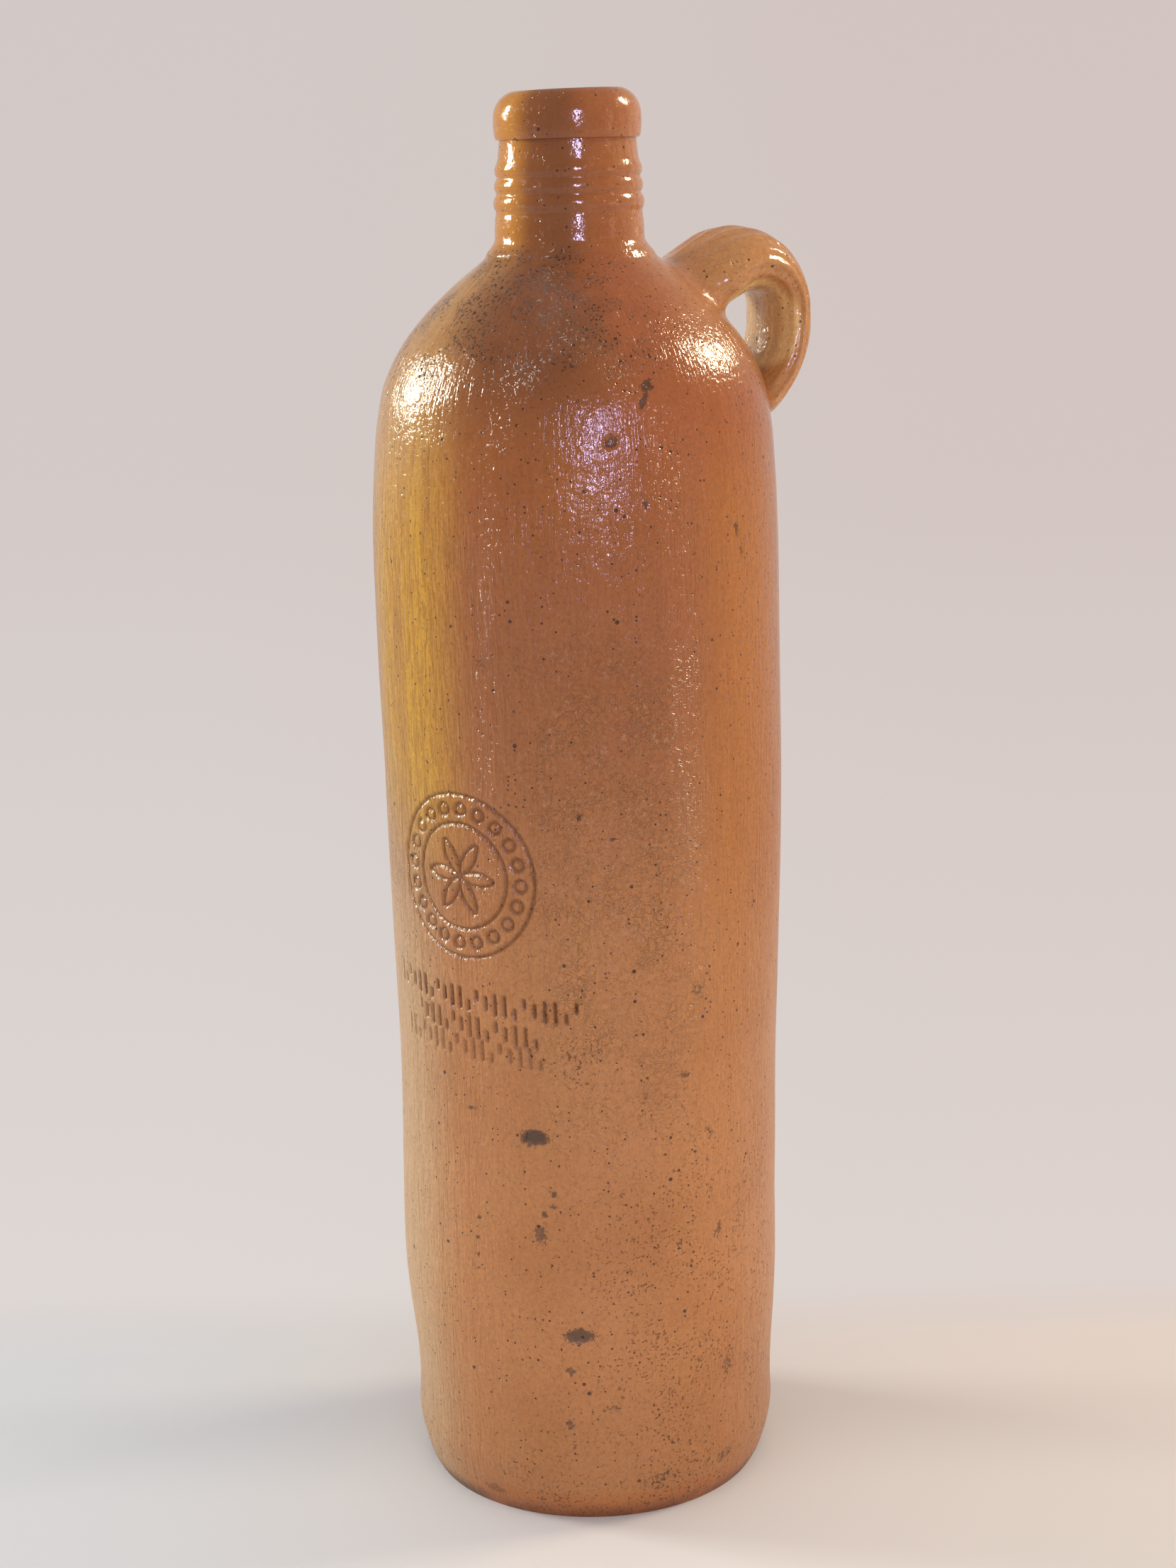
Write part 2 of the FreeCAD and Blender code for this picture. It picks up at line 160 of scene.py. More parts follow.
# each run and the spacing of its rows, in mm
RUNS = [(UNDERSIDE, 3.0), (HEEL, 1.2), (WALL, 1.9), (SHOULDER, 1.5), (COLLAR, 0.6), (NECK, 0.45),
        (LIP_UNDER, 0.4), (LIP, 0.6), (BORE, 2.5), (INSIDE, 7.0)]
OUTSIDE_RUNS = 8
rows = np.vstack([cut_rows(points, spacing) for points, spacing in RUNS] + [[INSIDE[-1]]])
outside_rows = sum(len(cut_rows(points, spacing)) for points, spacing in RUNS[:OUTSIDE_RUNS])
wall_curve = np.vstack([smooth_run(run) for run in (HEEL, WALL, SHOULDER)])
print(len(rows), "rows,", outside_rows, "of them outside")

# %% [markdown]
# Hands leave marks in a thrown wall, and they are what keeps a turned shape from looking
# turned by a machine. The wall wanders by a few tenths of a millimetre, there is a shallow
# dent low on the left, a smear of clay lies by the collar and the rim sags a little. A
# displacement modifier could do some of it, but these marks bend the outline, so they are
# pushed into the mesh itself. Blender's noise is smooth and the same in every run.

# %% Hand marks
# depths and sizes in mm
WANDER, WANDER_SIZE = 0.32, 55.0
FACET, FACET_SIZE = 0.16, (9.0, 60.0)
DENT_AZIMUTH, DENT_HEIGHT, DENT_DEPTH = math.radians(-110), 27.0, 1.0
DENT_REACH = (24.0, 16.0)
THUMB_AZIMUTH, THUMB_HEIGHT, THUMB_RISE = math.radians(72), 264.0, 0.9
THUMB_REACH = (9.0, 3.2)
RIM_TILT, RIM_START, RIM_TOP = 0.5, 284.0, 300.0
# the marks fade out towards the foot and on the narrow neck
SETTLE_HEIGHT, SLIM_RADIUS = 6.0, 30.0
# at these heights the wall swells and the axis strays to the photo's right by so much, in mm
STATIONS = [0, 10, 30, 45, 62, 80, 110, 135, 160, 180, 197, 212, 232, 245, 262, 275, 300]
SWELL = [-0.05, 0.05, 0.15, 0.25, 0.12, 0.12, 0.1, -0.03, -0.05, 0, -0.08, 0.09, 0.15, -0.05, 0, 0.2, 0.05]
STRAY = [0, 0, -0.15, -0.2, -0.25, 0, 0.4, 0.45, 0.35, 0.1, 0, -0.1, 0, 0, 0, 0, 0]


def bump_shape(x, y, across, up):
    """A smooth mound: one at its middle and nothing from about twice its reach on."""
    return math.exp(-((x / across) ** 2 + (y / up) ** 2))


def arc_from(angle, azimuth, radius):
    """Distance round the wall from an azimuth, the short way."""
    gap = (angle - azimuth + math.pi) % (2 * math.pi) - math.pi
    return gap * radius


def hand_marks(azimuth, radius, height):
    """How far the wall is pushed out here, in mm."""
    around = Vector((math.sin(azimuth), -math.cos(azimuth), 0)) * radius
    spot = (around + Vector((0, 0, height))) / WANDER_SIZE
    push = WANDER * noise.noise(spot)
    stretched = Vector((around.x / FACET_SIZE[0], around.y / FACET_SIZE[0], height / FACET_SIZE[1]))
    push += FACET * noise.noise(stretched + Vector((7, 3, 5)))
    aside = arc_from(azimuth, DENT_AZIMUTH, radius)
    push -= DENT_DEPTH * bump_shape(aside, height - DENT_HEIGHT, *DENT_REACH)
    aside = arc_from(azimuth, THUMB_AZIMUTH, radius)
    push += THUMB_RISE * bump_shape(aside, height - THUMB_HEIGHT, *THUMB_REACH)
    settle = min(1.0, height / SETTLE_HEIGHT)
    slim = min(1.0, radius / SLIM_RADIUS)
    stray = np.interp(height, STATIONS, STRAY) * compass(azimuth).dot(sideways)
    return push * settle * slim + (np.interp(height, STATIONS, SWELL) + stray) * slim


print("push at the middle of the belly: %.2f mm" % hand_marks(0, 43, 197))

# %% [markdown]
# A seal was pressed into the wet wall with a stamp. This one is plain: two rings, a wreath
# of dots between them and a six-petalled rosette, with rows of short strokes below. Curves
# could be cut in with a boolean, but wet clay has round edges. So the strokes are drawn as
# distances: how far is this spot from the nearest stroke, and how deep is the groove there?

# %% Seal and rows of strokes
SEAL_AZIMUTH, SEAL_HEIGHT = math.radians(-62), 143.5
SEAL_RADIUS, SEAL_INNER = 17.3, 11.2
SEAL_LEAN, SEAL_MARGIN = math.radians(-3), 3.0
GROOVE_WIDTH, GROOVE_DEPTH = 0.42, 0.48
DOT_COUNT, DOT_SIZE = 20, 1.25
PETAL_COUNT, PETAL_LENGTH, PETAL_RADIUS = 6, 8.6, 7.4
ROW_STARTS = [(-94, 118.2), (-82, 112.0), (-90, 107.2)]
ROW_ENDS = [(-27, 115.9), (-39, 110.2), (-36, 105.8)]
ROW_DEPTHS = (1.3, 1.1, 0.8)
STROKE_HEIGHT, STROKE_PITCH = 4.2, 2.2
# middle and half length of the strokes in turn, in mm
STROKES = [(0.0, 2.0), (1.2, 0.8), (0.0, 2.0), (-1.2, 0.8), (0.0, 1.2)]


def ring_gap(x, y, radius):
    return abs(math.hypot(x, y) - radius)


def seal_gap(x, y):
    """Distance in mm from the seal's nearest stroke."""
    gap = min(ring_gap(x, y, SEAL_RADIUS), ring_gap(x, y, SEAL_INNER))
    radius, angle = math.hypot(x, y), math.atan2(y, x)
    pitch = 2 * math.pi / DOT_COUNT
    nearest = round(angle / pitch) * pitch
    middle = (SEAL_RADIUS + SEAL_INNER) / 2
    dot = math.hypot(x - middle * math.cos(nearest), y - middle * math.sin(nearest))
    gap = min(gap, abs(dot - DOT_SIZE))
    if radius < SEAL_INNER:
        for number in range(PETAL_COUNT):
            turn = 2 * math.pi * number / PETAL_COUNT
            along = x * math.cos(turn) + y * math.sin(turn)
            aside = abs(y * math.cos(turn) - x * math.sin(turn))
            centre = math.sqrt(PETAL_RADIUS**2 - (PETAL_LENGTH / 2) ** 2)
            if 0 < along < PETAL_LENGTH:
                curve = abs(math.hypot(along - PETAL_LENGTH / 2, aside + centre) - PETAL_RADIUS)
                gap = min(gap, curve)
    return gap


def row_gap(x, y, number):
    """Distance from the nearest upright stroke of a row: long ones and short ones take turns."""
    index = round(x / STROKE_PITCH)
    middle, half = STROKES[(index * 3 + number) % len(STROKES)]
    return math.hypot(x - index * STROKE_PITCH, max(0.0, abs(y - middle) - half))


def groove(gap):
    """Depth of a rounded groove at a distance from its middle."""
    return math.exp(-((gap / GROOVE_WIDTH) ** 2))


def stamp_depth(azimuth, radius, height):
    """How far the stamps are pressed in here, from 0 to 1."""
    x = arc_from(azimuth, SEAL_AZIMUTH, radius)
    y = height - SEAL_HEIGHT
    depth = 0.0
    if math.hypot(x, y) < SEAL_RADIUS + SEAL_MARGIN:
        lean_x = x * math.cos(SEAL_LEAN) + y * math.sin(SEAL_LEAN)
        lean_y = y * math.cos(SEAL_LEAN) - x * math.sin(SEAL_LEAN)
        depth = groove(seal_gap(lean_x, lean_y))
    for number, (start, end) in enumerate(zip(ROW_STARTS, ROW_ENDS)):
        across = arc_from(azimuth, math.radians(start[0]), radius)
        length = math.radians(end[0] - start[0]) * radius
        middle = start[1] + (end[1] - start[1]) * across / length
        if 0 < across < length and abs(height - middle) < STROKE_HEIGHT:
            depth = max(depth, ROW_DEPTHS[number] * groove(row_gap(across, height - middle, number)))
    return depth


print("depth on the outer ring: %.2f" % stamp_depth(SEAL_AZIMUTH, 43, SEAL_HEIGHT + SEAL_RADIUS))

# %% [markdown]
# A bottle this old has been knocked, and grit stuck to it in the kiln. Each mark is an
# ellipse on the unrolled wall with a ragged edge. The table holds its azimuth in degrees,
# its height, half its width and half its height in mm, its tilt, how dark it is and how deep.
# The grid is cut finer where a mark lies, so a pit is real relief and not only a shadow.

# %% Scars, chips and stains
MARKS = [
    (-41, 88.5, 3.5, 1.9, 4, 0.9, 0.45), (-43.5, 88.2, 2.0, 1.3, 0, 0.5, 0.2),
    (-40, 67.2, 1.5, 2.6, 12, 0.45, 0.4), (-29, 44.6, 3.7, 1.8, 8, 0.75, 0.45),
    (-32, 36.6, 0.9, 1.4, 0, 0.6, 0.2), (-32.5, 23.6, 1.0, 1.3, 10, 0.6, 0.2),
    (-19.5, 27.2, 2.2, 0.8, -12, 0.4, 0.3), (-31.5, 18.8, 0.7, 0.7, 0, 0.5, 0.1),
    (-5.5, 9.0, 5.0, 1.9, 8, 0.3, 0.0), (19.5, 9.8, 3.4, 1.6, 20, 0.35, 0.1),
    (-60, 4.6, 3.2, 1.3, 0, 0.5, 0.1), (-36.5, 73.5, 0.9, 0.7, 0, 0.7, 0.2),
    (-38.5, 71.8, 0.9, 0.7, 0, 0.7, 0.2), (-36, 76.5, 0.8, 0.6, 0, 0.7, 0.2),
    (-60, 57.5, 0.4, 0.4, 0, 0.9, 0.1), (-60, 60.5, 0.45, 0.45, 0, 0.9, 0.1),
    (-60, 64.5, 0.45, 0.4, 0, 0.9, 0.1), (-59.5, 68.8, 0.4, 0.7, 0, 0.8, 0.1),
    (-60.5, 79.5, 0.4, 0.4, 0, 0.8, 0.1), (-62, 93.0, 0.7, 0.5, 0, 0.8, 0.1),
    (-15, 232.2, 1.5, 1.4, 0, 0.55, 0.4), (-3.2, 242.4, 1.7, 1.1, 20, 0.75, 0.2),
    (-5, 239.8, 0.7, 2.1, -38, 0.65, 0.2), (-6, 219.6, 0.8, 0.7, 0, 0.8, 0.2),
    (24, 213.0, 0.7, 1.6, 10, 0.6, 0.2), (26, 208.5, 0.6, 1.6, 0, 0.5, 0.2),
    (41.5, 216.6, 2.6, 0.16, 4, 0.7, 0.1), (-16.5, 152.8, 0.75, 0.45, 0, 0.8, 0.2),
    (-26, 157.2, 0.85, 0.5, 0, 0.8, 0.2), (-52, 187.8, 2.0, 1.6, 0, 0.25, 0.1),
    (4, 100.5, 1.3, 1.0, 0, 0.5, 0.2), (3, 62.5, 2.6, 3.2, 0, 0.16, 0.2),
    (15.5, 63.5, 1.1, 2.6, -12, 0.45, 0.2), (20, 31.5, 1.6, 3.0, 0, 0.35, 0.1),
    (8, 118.5, 1.5, 2.4, 0, 0.3, 0.1), (12, 86.5, 1.0, 2.0, 15, 0.4, 0.2),
]
EDGE_WOBBLE, EDGE_GRAIN = 0.55, 0.8
EDGE_START, EDGE_FADE = 1.12, 0.45
MARK_REACH, MARK_MARGIN, MARK_WINDOW = 1.2, 0.7, 9.0
# this noise starts from the clock unless it is seeded, and the edges have to come out the same
noise.seed_set(3)


def mark_shape(azimuth, radius, height):
    """How dark, from 0 to 1, and how deep, in mm, the marks make this spot."""
    dark, deep = 0.0, 0.0
    spot = compass(azimuth) * radius + Vector((0, 0, height))
    wobble = None
    for bearing, level, half_width, half_height, tilt, darkest, deepest in MARKS:
        x = arc_from(azimuth, math.radians(bearing), radius)
        y = height - level
        if abs(x) > MARK_WINDOW or abs(y) > MARK_WINDOW:
            continue
        if wobble is None:
            wobble = noise.turbulence_vector(spot * EDGE_GRAIN, 3, False) * EDGE_WOBBLE
        turn = math.radians(tilt)
        x, y = x + wobble.x, y + wobble.y
        along = (x * math.cos(turn) + y * math.sin(turn)) / half_width
        across = (y * math.cos(turn) - x * math.sin(turn)) / half_height
        share = min(max((EDGE_START - math.hypot(along, across)) / EDGE_FADE, 0.0), 1.0)
        dark = max(dark, share * darkest)
        deep = max(deep, share * deepest)
    return dark, deep


def near_mark(azimuth, radius, height):
    """Whether a mark comes within a cell's width of this spot."""
    for bearing, level, half_width, half_height, *_ in MARKS:
        reach = max(half_width, half_height) * MARK_REACH + MARK_MARGIN
        if math.hypot(arc_from(azimuth, math.radians(bearing), radius), height - level) < reach:
            return True
    return False


print(len(MARKS), "marks; at the first one the wall is %.2f dark and %.2f mm deep" % mark_shape(
    math.radians(MARKS[0][0]), 41.3, MARKS[0][1]))

# %% [markdown]
# The wall is one closed grid of rows and columns, from the middle of the foot, over the lip
# and back to the floor inside. A groove under a millimetre wide needs smaller faces than a
# plain wall, so the grid is cut finer at the seal, the rows, the marks and the strap's joins,
# and the faces beside them take the extra corners, which keeps the mesh closed. Cutting the
# whole wall that fine would make five times as many faces.

# %% Throw the wall
COLUMNS = 160
KEY = 6
# first and last azimuth, lowest and highest row, and into how many parts a cell is cut
SEAL_PANEL = (math.radians(-92), math.radians(-32), 124.0, 163.0, 6)
ROWS_PANEL = (math.radians(-97), math.radians(-22), 102.5, 122.5, 6)
MARK_CUTS = 3
JOIN_PANEL = (math.radians(54), math.radians(126), 226.0, 268.0, 2)


def fineness(row, column):
    """Into how many parts each side of this cell is cut."""
    if row >= outside_rows - 1 or row < 1:
        return 1
    height = (rows[row, 1] + rows[row + 1, 1]) / 2
    azimuth = (column + 0.5) * 2 * math.pi / COLUMNS
    for start, end, bottom, top, cuts in (SEAL_PANEL, ROWS_PANEL, JOIN_PANEL):
        inside = (azimuth - start) % (2 * math.pi) < end - start
        if inside and bottom < height < top:
            return cuts
    radius = (rows[row, 0] + rows[row + 1, 0]) / 2
    return MARK_CUTS if near_mark(azimuth, radius, height) else 1


def wall_faces():
    """Corners of every face, as (row, column) keys in sixths of a cell."""
    last = len(rows) - 1
    cuts = {(row, column): fineness(row, column) for row in range(last) for column in range(COLUMNS)}
    faces = []
    for (row, column), own in cuts.items():
        below = cuts.get((row - 1, column), 1)
        above = cuts.get((row + 1, column), 1)
        before = cuts[(row, (column - 1) % COLUMNS)]
        after = cuts[(row, (column + 1) % COLUMNS)]
        step = KEY // own
        for i in range(own):
            for j in range(own):
                r0, c0 = row * KEY + i * step, column * KEY + j * step
                r1, c1 = r0 + step, c0 + step
                face = [(r0, c) for c in edge_keys(c0, c1, below if own == 1 else 1)]
                face += [(r, c1) for r in edge_keys(r0, r1, after if own == 1 else 1)]
                face += [(r1, c) for c in edge_keys(c1, c0, above if own == 1 else 1)]
                face += [(r, c0) for r in edge_keys(r1, r0, before if own == 1 else 1)]
                faces.append(face)
    return faces


def edge_keys(start, end, parts):
    """Keys from the start of an edge up to, but not including, its end."""
    return [start + (end - start) * part // parts for part in range(parts)]


def wall_point(row_key, column_key):
    """Place of a corner of the grid, with all marks, and the shares of stamp and stain there."""
    row = min(row_key // KEY, len(rows) - 2)
    share = row_key / KEY - row
    radius, height = rows[row] * (1 - share) + rows[row + 1] * share
    azimuth = column_key / KEY * 2 * math.pi / COLUMNS
    depth, dark = 0.0, 0.0
    if row_key < outside_rows * KEY and radius > 0:
        push = hand_marks(azimuth, radius, height)
        if radius > SLIM_RADIUS:
            dark, deep = mark_shape(azimuth, radius, height)
            push -= deep
        if ROWS_PANEL[2] < height < SEAL_PANEL[3]:
            depth = stamp_depth(azimuth, radius, height)
        radius += push - GROOVE_DEPTH * depth
        # the rim sags towards the left of the photo
        up_rim = max(0.0, (height - RIM_START) / (RIM_TOP - RIM_START))
        height -= RIM_TILT * up_rim * (1 - compass(azimuth).dot(sideways)) / 2
    around = compass(azimuth) * radius
    return (around.x, around.y, height), depth, dark


def throw_wall():
    """The closed wall as a mesh, in mm, and the shares of stamp and stain at each corner."""
    numbers, points, depths, darks, faces = {}, [], [], [], []
    last = (len(rows) - 1) * KEY
    for face in wall_faces():
        corners = []
        for row_key, column_key in face:
            column_key %= COLUMNS * KEY
            if row_key in (0, last):
                column_key = 0
            key = (row_key, column_key)
            if key not in numbers:
                numbers[key] = len(points)
                point, depth, dark = wall_point(*key)
                points.append(point)
                depths.append(depth)
                darks.append(dark)
            if numbers[key] not in corners:
                corners.append(numbers[key])
        faces.append(corners)
    mesh = bpy.data.meshes.new("thrown_wall")
    mesh.from_pydata(points, [], faces)
    for name, shares in (("stamp", depths), ("stain", darks)):
        mesh.attributes.new(name, "FLOAT", "POINT").data.foreach_set("value", shares)
    return mesh


wall_mesh = throw_wall()
print("wall:", len(wall_mesh.vertices), "corners,", len(wall_mesh.polygons), "faces")

# %% [markdown]
# The handle was pulled from a roll of wet clay, so it has an oval section that is thick
# where it was pressed on beside the collar and thins towards the finger's gap. Fingers
# drawn along it left fine ridges. Its centre line is the same as in the CAD part: a straight
# rise, a tight bend, a short drop and a wider sweep back into the wall. A curve with a bevel
# would be quicker, but it can't change its section's proportions or carry ridges.

# %% Pull the strap
BEND_CENTRE, BEND_RADIUS = Vector((38.95, 254.38)), 10.2
RISE_ANGLE = math.radians(30)
DROP = 2.8
SWEEP_RADIUS, SWEEP_ANGLE = 20.0, math.radians(68)
ROOT_LENGTH = 14.0
STRAP_WIDTH, ROOT_WIDTH, TAIL_WIDTH = 23.8, 29.3, 25.8
STRAP_THICKNESS, ROOT_THICKNESS = 9.1, 14.6
STRAP_ROWS, STRAP_SIDES = 100, 96
BURY_DEPTH = 3.2
TAIL_TURN = math.radians(72)
# ridges in mm, the broad ones' spacing as a share of the half width, and how they waver
RIDGE_HEIGHT, RIDGE_SPACING = 0.24, 0.36
FINE_RIDGE, RIDGE_COUNT = 0.24, 14
WAVER, WAVER_LENGTH = 0.8, 14.0
UNEVEN, UNEVEN_LENGTH = 0.3, 9.0

bend_turn = math.pi / 2 + RISE_ANGLE
bend_length = BEND_RADIUS * bend_turn
sweep_length = SWEEP_RADIUS * SWEEP_ANGLE
strap_length = ROOT_LENGTH + bend_length + DROP + sweep_length
wall_tree = KDTree(len(wall_curve))
for index, point in enumerate(wall_curve):
    wall_tree.insert((point[0], point[1], 0), index)
wall_tree.balance()


def strap_path(along):
    """Place, direction and section (half width, half thickness) at a length along the strap."""
    root = 1.0
    tail = 0.0
    if along < ROOT_LENGTH:
        angle = bend_turn
        place = BEND_CENTRE + BEND_RADIUS * Vector((math.cos(angle), math.sin(angle)))
        place -= (ROOT_LENGTH - along) * Vector((math.cos(RISE_ANGLE), math.sin(RISE_ANGLE)))
    elif along < ROOT_LENGTH + bend_length:
        angle = bend_turn - (along - ROOT_LENGTH) / BEND_RADIUS
        place = BEND_CENTRE + BEND_RADIUS * Vector((math.cos(angle), math.sin(angle)))
        root = (1 - math.cos(math.pi * angle / bend_turn)) / 2
    elif along < ROOT_LENGTH + bend_length + DROP:
        angle = 0.0
        place = BEND_CENTRE + Vector((BEND_RADIUS, ROOT_LENGTH + bend_length - along))
        root = 0.0
    else:
        angle = -(along - ROOT_LENGTH - bend_length - DROP) / SWEEP_RADIUS
        centre = BEND_CENTRE + Vector((BEND_RADIUS - SWEEP_RADIUS, -DROP))
        place = centre + SWEEP_RADIUS * Vector((math.cos(angle), math.sin(angle)))
        root = 0.0
        tail = (angle / TAIL_TURN) ** 2
    width = STRAP_WIDTH + (ROOT_WIDTH - STRAP_WIDTH) * root**2 + (TAIL_WIDTH - STRAP_WIDTH) * tail
    thickness = STRAP_THICKNESS + (ROOT_THICKNESS - STRAP_THICKNESS) * root
    outward = Vector((math.cos(angle), math.sin(angle)))
    return place, outward, width / 2, thickness / 2


def bury(radius, height):
    """Keep the strap's ends in the middle of the wall, so nothing pokes through inside."""
    near, _, distance = wall_tree.find((radius, height, 0))
    outside = radius > near.x if abs(height - near.y) < abs(radius - near.x) else height > near.y
    if outside or distance <= BURY_DEPTH:
        return radius, height
    share = BURY_DEPTH / distance
    return near.x + (radius - near.x) * share, near.y + (height - near.y) * share


def pull_strap():
    """The strap as a closed tube, in mm."""
    points = []
    for row in range(STRAP_ROWS + 1):
        along = strap_length * row / STRAP_ROWS
        place, outward, half_width, half_thickness = strap_path(along)
        for side in range(STRAP_SIDES):
            turn = 2 * math.pi * side / STRAP_SIDES
            across, out = math.cos(turn), math.sin(turn)
            waver = WAVER * noise.noise(Vector((along / WAVER_LENGTH, 3, 0)))
            push = UNEVEN * noise.noise(Vector((along / UNEVEN_LENGTH, across * 1.5, out)))
            if out > 0:
                push += RIDGE_HEIGHT * (math.cos(2 * math.pi * across / RIDGE_SPACING + waver) - 1) * out
            push += FINE_RIDGE * (math.cos(RIDGE_COUNT * turn + waver) - 1) * (1 - out * out)
            straight = Vector((across / half_width, out / half_thickness)).normalized()
            lift = out * half_thickness + straight.y * push
            x = place.x + outward.x * lift
            z = place.y + outward.y * lift
            y = across * half_width + straight.x * push
            radius = math.hypot(x, y)
            new_radius, z = bury(radius, z)
            points.append((x * new_radius / radius, y * new_radius / radius, z))
    faces = []
    for row in range(STRAP_ROWS):
        for side in range(STRAP_SIDES):
            here, there = row * STRAP_SIDES, (row + 1) * STRAP_SIDES
            after = (side + 1) % STRAP_SIDES
            faces.append((here + side, there + side, there + after, here + after))
    for row, flip in ((0, False), (STRAP_ROWS, True)):
        rim = list(range(row * STRAP_SIDES, (row + 1) * STRAP_SIDES))
        middle = len(points)
        points.append(tuple(np.mean([points[number] for number in rim], axis=0)))
        for a, b in zip(rim, rim[1:] + rim[:1]):
            faces.append((middle, b, a) if flip else (middle, a, b))
    mesh = bpy.data.meshes.new("pulled_strap")
    mesh.from_pydata(points, [], faces)
    for name in ("stamp", "stain"):
        mesh.attributes.new(name, "FLOAT", "POINT").data.foreach_set("value", [0.0] * len(points))
    return mesh


strap_mesh = pull_strap()
print("strap: %.1f mm along its middle, %d faces" % (strap_length, len(strap_mesh.polygons)))

# %% [markdown]
# The strap is pressed onto the wall, and then a wet finger wipes clay into the corner
# between them. Pressing is a boolean union. A bevel would be the usual way to round the
# seam, but it fails on such a wavy one. So wiping is a smoothing that only works near the
# seam, wider at the root than at the tail, which turns the seam into a soft hollow.

# %% Press it on and wipe the joins
WIPE_STEPS = 100
WIPE_REACH = {"root": 6.5, "tail": 2.8}
SEAM_GAP = 0.01
# the joins lie inside these limits, in mm, and the root is above the last one
JOIN_SIDE, JOIN_BOTTOM, JOIN_TOP, JOIN_SPLIT = 10.0, 215.0, 275.0, 248.0
# a corner this far from the wall is all strap, and above the least share it has no marks
STRAP_FADE, STRAP_LEAST = 3.0, 0.02
CREASE = math.radians(50)


def face_outwards(mesh):
    sheet = bmesh.new()
    sheet.from_mesh(mesh)
    bmesh.ops.recalc_face_normals(sheet, faces=sheet.faces)
    sheet.to_mesh(mesh)
    sheet.free()


face_outwards(wall_mesh)
face_outwards(strap_mesh)
bottle = as_object(wall_mesh, "stoneware_bottle")
strap = as_object(strap_mesh, "strap")
wall_skin, strap_skin = [
    BVHTree.FromPolygons([v.co for v in mesh.vertices], [p.vertices for p in mesh.polygons])
    for mesh in (wall_mesh, strap_mesh)]
press = bottle.modifiers.new("press", "BOOLEAN")
press.operation = "UNION"
press.solver = "EXACT"
press.object = strap
pressed = bpy.data.meshes.new_from_object(bottle.evaluated_get(bpy.context.evaluated_depsgraph_get()))
bottle.modifiers.clear()
bottle.data = pressed
bpy.data.objects.remove(strap)


def near_joins(spot):
    return spot.x >= JOIN_SIDE and JOIN_BOTTOM <= spot.z <= JOIN_TOP


def wipe_joins(mesh):
    """Smooth the mesh near the seam. Returns how much of each corner belongs to the strap."""
    sheet = bmesh.new()
    sheet.from_mesh(mesh)
    sheet.verts.ensure_lookup_table()
    seam, share = [], [0.0] * len(sheet.verts)
    for corner in sheet.verts:
        if not near_joins(corner.co):
            continue
        to_strap = strap_skin.find_nearest(corner.co)[3]
        to_wall = wall_skin.find_nearest(corner.co)[3]
        share[corner.index] = min(max(to_wall / STRAP_FADE, 0.0), 1.0)
        if to_strap < SEAM_GAP and to_wall < SEAM_GAP:
            seam.append(corner.co.copy())
    tree = KDTree(len(seam))
    for number, spot in enumerate(seam):
        tree.insert(spot, number)
    tree.balance()
    soft = []
    for corner in sheet.verts:
        if not near_joins(corner.co):
            continue
        distance = tree.find(corner.co)[2]
        reach = WIPE_REACH["root" if corner.co.z > JOIN_SPLIT else "tail"]
        if distance < reach:
            soft.append((corner, (1 - (distance / reach) ** 2) ** 2))
    for _ in range(WIPE_STEPS):
        moved = []
        for corner, weight in soft:
            around = [edge.other_vert(corner).co for edge in corner.link_edges]
            middle = sum(around, Vector()) / len(around)
            moved.append(corner.co.lerp(middle, 0.5 * weight))
        for (corner, _), spot in zip(soft, moved):
            corner.co = spot
    sheet.to_mesh(mesh)
    sheet.free()
    print("seam of", len(seam), "corners,", len(soft), "wiped")
    return share


strap_share = wipe_joins(pressed)
attribute = pressed.attributes.new("strap", "FLOAT", "POINT")
attribute.data.foreach_set("value", strap_share)
# the strap carries no stamp or stain
for name in ("stamp", "stain"):
    shares = np.zeros(len(pressed.vertices))
    pressed.attributes[name].data.foreach_get("value", shares)
    shares[np.array(strap_share) > STRAP_LEAST] = 0.0
    pressed.attributes[name].data.foreach_set("value", shares)
pressed.transform(Matrix.Scale(MM, 4))
pressed.shade_smooth()
pressed.set_sharp_from_angle(angle=CREASE)
triangles = sum(len(face.vertices) - 2 for face in pressed.polygons)
extent = [max(v.co[k] for v in pressed.vertices) / MM for k in range(3)]
print("bottle:", triangles, "triangles, reaches", [round(x, 2) for x in extent])

# %% [markdown]
# Salt glaze isn't painted on. Salt thrown into the fire turns to vapour, which meets the
# clay and makes a thin glass on it, thickest where the flame passed. So one skin has many
# colours: yellow on the left flank, orange on the right, red brown in front and a paler,
# drier clay lower down. The yellow flank is partly a painted sheen, and the pale clay low at
# the left and right edges is partly a painted reflection of the pale paper. Image textures
# would be easier, but they wouldn't fit another bottle, so the skin is built from nodes, and
# one small function adds each of them.

# %% Helpers for colours and nodes
def linear(code):
    """An sRGB hex colour as Blender's linear red, green, blue and alpha."""
    parts = [int(code[k:k + 2], 16) / 255 for k in (0, 2, 4)]
    return [p / 12.92 if p <= 0.04045 else ((p + 0.055) / 1.055) ** 2.4 for p in parts] + [1.0]


def new_material(name):
    material = bpy.data.materials.new(name)
    material.use_nodes = True
    return material, material.node_tree, material.node_tree.nodes["Principled BSDF"]


def add(tree, kind, settings, inputs, output=0):
    """Add a node. Each input, by name or in order, is a value or another node's output socket."""
    node = tree.nodes.new("ShaderNode" + kind)
    for name, setting in settings.items():
        setattr(node, name, setting)
    for name, given in inputs.items() if isinstance(inputs, dict) else enumerate(inputs):
        if isinstance(given, bpy.types.NodeSocket):
            tree.links.new(given, node.inputs[name])
        else:
            node.inputs[name].default_value = given
    return node.outputs[output]


